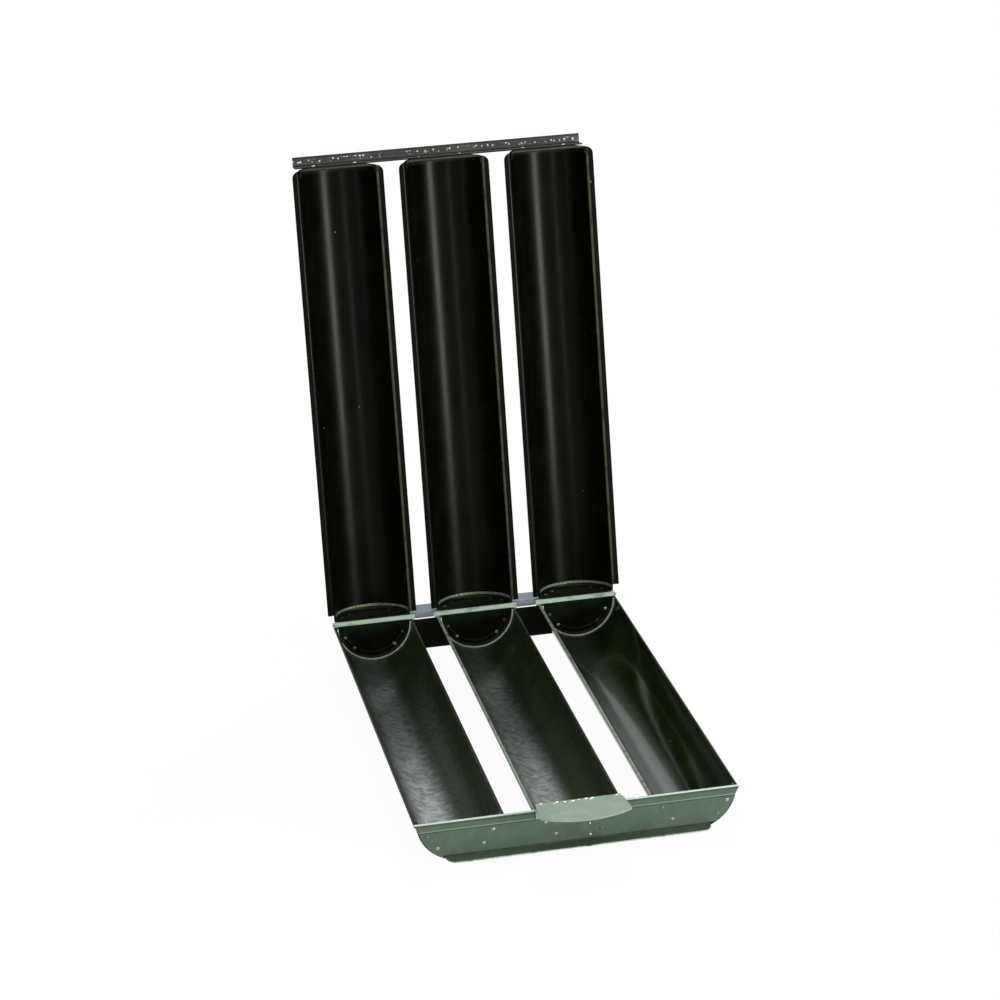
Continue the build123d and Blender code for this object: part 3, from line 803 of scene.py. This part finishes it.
def rivet_tree():
    """Sets a peened head on every point, turned to its sheet's face, none quite like another."""
    tree = new_tree("peened rivets")
    ids = {name: named_input(tree, name, "NodeSocketFloat", value) for name, value in (
        ("Head radius", RIVET_HEAD_R), ("Head height", RIVET_HEAD_H), ("Unevenness", 0.12))}
    ids["Seed"] = named_input(tree, "Seed", "NodeSocketInt", 7)
    ids["Finish"] = named_input(tree, "Finish", "NodeSocketMaterial")
    graph = Graph(tree)
    entry = tree.nodes.new("NodeGroupInput")
    given = {socket.name: Feed(graph, socket) for socket in entry.outputs if socket.name}
    ball = graph.node("GeometryNodeMeshUVSphere", {}, {"Segments": 20, "Rings": 12, "Radius": 1.0})
    spot = graph.node("GeometryNodeInputPosition")
    height = graph.node("ShaderNodeSeparateXYZ", {}, {0: spot}, "Z")
    sunk = graph.node("ShaderNodeMath", {"operation": "MAXIMUM"}, {0: height, 1: 0.0})
    parts = graph.node("ShaderNodeSeparateXYZ", {}, {0: spot})
    flat = graph.node("ShaderNodeCombineXYZ", {}, {
        "X": parts, "Y": Feed(graph, parts.socket.node.outputs["Y"]), "Z": sunk})
    head = graph.node("GeometryNodeSetPosition", {}, {"Geometry": ball, "Position": flat})
    head = graph.node("GeometryNodeMergeByDistance", {}, {"Geometry": head, "Distance": 1e-4})
    size = graph.node("ShaderNodeCombineXYZ", {}, {
        "X": given["Head radius"], "Y": given["Head radius"], "Z": given["Head height"]})
    head = graph.node("GeometryNodeTransform", {}, {"Geometry": head, "Scale": size})
    facing = graph.node("GeometryNodeInputNamedAttribute", {"data_type": "FLOAT_VECTOR"}, {
        "Name": "facing"})
    turn = graph.node("FunctionNodeAlignRotationToVector", {"axis": "Z"}, {"Vector": facing})
    uneven = graph.node("FunctionNodeRandomValue", {"data_type": "FLOAT"}, {
        2: 1.0 - given["Unevenness"], 3: 1.0, "Seed": given["Seed"]}, 1)
    heads = graph.node("GeometryNodeInstanceOnPoints", {}, {
        "Points": graph.node("GeometryNodeMeshToPoints", {}, {"Mesh": given["Geometry"]}),
        "Instance": head, "Rotation": turn, "Scale": uneven})
    shine = graph.node("FunctionNodeRandomValue", {"data_type": "FLOAT"}, {
        2: 0.0, 3: 1.0, "Seed": given["Seed"] + 50.0}, 1)
    heads = graph.node("GeometryNodeStoreNamedAttribute", {"data_type": "FLOAT", "domain": "INSTANCE"}, {
        "Geometry": heads, "Name": "shine", "Value": shine})
    finish_tree(graph, heads, given["Finish"])
    return tree, ids


def rivet_points(places, faces):
    """A point on each face of the riveted sheets for every rivet. faces: Y and which way it looks."""
    mesh = bpy.data.meshes.new("rivet points")
    spots = [(x, y, z) for x, z in places for y, way in faces]
    looks = [value for x, z in places for y, way in faces for value in (0.0, way, 0.0)]
    mesh.from_pydata(spots, [], [])
    mesh.attributes.new("facing", "FLOAT_VECTOR", "POINT").data.foreach_set("vector", looks)
    return mesh


def make_rivets():
    tree, ids = rivet_tree()
    base = end_rivets(RIM_Z, -1)
    lid = end_rivets(LID_RIM_Z, 1)
    grip = SHEET + SEAT
    high = [place for place in lid if place[1] > LID_RIM_Z + TROUGH_R - SHEET - ANGLE_DOWN + 1.0 * MM]
    grips = [(side * GRIP_RIVET_X, RIM_Z - GRIP_RIVET_DROP) for side in (-1, 1)]
    hem_face = FRONT_FACE - HEM - SEAT - HANDLE_SHEET
    sets = (
        ("front_rivets", "base", base, ((FRONT_FACE - SHEET, -1), (FRONT_FACE + grip, 1)),
         AS_DRAWN, "base_front_rivets"),
        ("back_rivets", "base", base, ((REAR_FACE - grip, -1), (REAR_FACE + SHEET, 1)),
         AS_DRAWN, "base_back_rivets"),
        ("lid_near_rivets", "lid", lid, ((REAR_FACE - grip, -1), (REAR_FACE + SHEET, 1)),
         OPEN_LID, "lid_hinge_rivets"),
        ("lid_far_rivets", "lid", high, ((LID_END - SEAT - ANGLE_SHEET, -1), (LID_END + SHEET, 1)),
         OPEN_LID, "lid_end_rivets"),
        ("grip_rivets", "base", grips, ((hem_face, -1), (FRONT_FACE + grip, 1)),
         AS_DRAWN, "handle_rivets"),
    )
    for seed, (name, body, places, faces, turn, node) in enumerate(sets):
        finish = FINISH["front rivet" if name == "front_rivets" else "dark rivet"]
        piece = grown(rivet_points(places, faces), name, tree, ids, {"Seed": seed, "Finish": finish}, turn)
        tidy_faces(piece, sharp_degrees=50)
        add_piece(piece, body, "rivet_steel", node)


# ---------------------------------------------------------------- plates, handle and pin

def coat_plates():
    """The finishes of the pieces that are shown as they are in the frame."""
    for node, finish in (("base_front_plate", "front plate"), ("base_back_plate", "back plate"),
                         ("lid_hinge_plate", "lid plate"), ("lid_end_angle", "angle"),
                         ("handle", "handle"), ("hinge_pin", "pin")):
        piece = nodes[node]
        piece.data.materials.clear()
        piece.data.materials.append(FINISH[finish])


# ---------------------------------------------------------------- studio

def seen_ray(graph):
    """1 for what the camera sees, straight or by way of metal, gloss or glass."""
    rays = [graph.node("ShaderNodeLightPath", output="Is %s Ray" % kind)
            for kind in ("Camera", "Glossy", "Transmission")]
    return graph.node("ShaderNodeClamp", {}, {0: rays[0] + rays[1] + rays[2]})


def make_floor():
    """Pale paper that is seen as white, and a little less so near the object, to keep its shadow."""
    material = bpy.data.materials.new("studio_floor")
    material.use_nodes = True
    graph = Graph(material.node_tree)
    graph.tree.nodes.clear()
    paper = graph.node("ShaderNodeBsdfDiffuse", {}, {"Color": FLOOR_PAPER})
    white = graph.node("ShaderNodeEmission", {}, {"Color": (1, 1, 1, 1), "Strength": 1.0})
    place = graph.node("ShaderNodeTexCoord", output="Object")
    away = graph.node("ShaderNodeVectorMath", {"operation": "LENGTH"}, {0: place}, "Value")
    share = graph.node("ShaderNodeMapRange", {"interpolation_type": "SMOOTHSTEP"}, {
        0: away, 1: SHADOW_REACH, 2: WHITE_FROM, 3: WHITE_NEAR, 4: 1.0})
    both = graph.node("ShaderNodeMixShader", {}, {0: seen_ray(graph) * share, 1: paper, 2: white})
    graph.node("ShaderNodeOutputMaterial", {}, {"Surface": both})
    low = cad_box[0].z - FLOOR_DROP
    corners = [(x * FLOOR_HALF, y * FLOOR_HALF, low) for x, y in ((-1, -1), (1, -1), (1, 1), (-1, 1))]
    mesh = bpy.data.meshes.new("floor")
    mesh.from_pydata(corners, [], [(0, 1, 2, 3)])
    mesh.materials.append(material)
    floor = bpy.data.objects.new("floor", mesh)
    bpy.context.scene.collection.objects.link(floor)


def make_world():
    """A white studio where it is seen, and a plain cool light elsewhere."""
    world = bpy.data.worlds.new("studio")
    world.use_nodes = True
    graph = Graph(world.node_tree)
    graph.tree.nodes.clear()
    soft = graph.node("ShaderNodeBackground", {}, {"Color": WORLD_TINT, "Strength": WORLD_STRENGTH})
    white = graph.node("ShaderNodeBackground", {}, {"Color": (1, 1, 1, 1), "Strength": 1.0})
    both = graph.node("ShaderNodeMixShader", {}, {0: seen_ray(graph), 1: soft, 2: white})
    graph.node("ShaderNodeOutputWorld", {}, {"Surface": both})
    bpy.context.scene.world = world


def soft_lamp(name, azimuth, elevation, distance, width, height, watts, colour=(1, 1, 1)):
    """A soft lamp that looks at the object's middle. Azimuth 0 is in front, and 90 to the right."""
    light = bpy.data.lights.new(name, "AREA")
    light.shape = "RECTANGLE"
    light.size = width
    light.size_y = height
    light.energy = watts
    light.color = colour
    lamp = bpy.data.objects.new(name, light)
    turn, rise = math.radians(azimuth), math.radians(elevation)
    way = Vector((math.sin(turn) * math.cos(rise), -math.cos(turn) * math.cos(rise), math.sin(rise)))
    lamp.location = LAMPS_LOOK_AT + way * distance
    lamp.rotation_euler = (-way).to_track_quat("-Z", "Y").to_euler()
    lamp.visible_camera = False
    bpy.context.scene.collection.objects.link(lamp)


def make_camera():
    """Seen from in front and a little left, above the rims, with a long lens held slightly turned."""
    azimuth = math.radians(CAMERA_AZIMUTH)
    elevation = math.radians(CAMERA_ELEVATION)
    roll = math.radians(CAMERA_ROLL)
    back = Vector((math.sin(azimuth) * math.cos(elevation), -math.cos(azimuth) * math.cos(elevation),
                   math.sin(elevation)))
    right = Vector((math.cos(azimuth), math.sin(azimuth), 0.0))
    up = back.cross(right)
    turned_right = math.cos(roll) * right + math.sin(roll) * up
    turned_up = math.cos(roll) * up - math.sin(roll) * right
    data = bpy.data.cameras.new("camera")
    data.lens = CAMERA_LENS
    data.sensor_width = CAMERA_SENSOR
    data.clip_start = 0.1
    data.clip_end = 50.0
    camera = bpy.data.objects.new("camera", data)
    turn = Matrix((turned_right, turned_up, back)).transposed().to_4x4()
    camera.matrix_world = Matrix.Translation(hinge + CAMERA_FROM_HINGE) @ turn
    bpy.context.scene.collection.objects.link(camera)
    bpy.context.scene.camera = camera


make_troughs()
make_cups()
make_rivets()
coat_plates()
make_floor()
make_world()
soft_lamp("right softbox", azimuth=39, elevation=4, distance=2.2, width=0.5, height=0.55, watts=42,
          colour=(0.95, 1.0, 0.93))
soft_lamp("camera softbox", azimuth=-22, elevation=4, distance=2.4, width=0.25, height=0.4, watts=5)
soft_lamp("left softbox", azimuth=-70, elevation=12, distance=2.2, width=0.3, height=0.8, watts=6)
soft_lamp("top softbox", azimuth=-20, elevation=80, distance=2.0, width=1.4, height=1.4, watts=6)
soft_lamp("rear softbox", azimuth=158, elevation=52, distance=2.0, width=0.2, height=0.3, watts=24)
make_camera()
bpy.context.scene.view_settings.view_transform = "Standard"
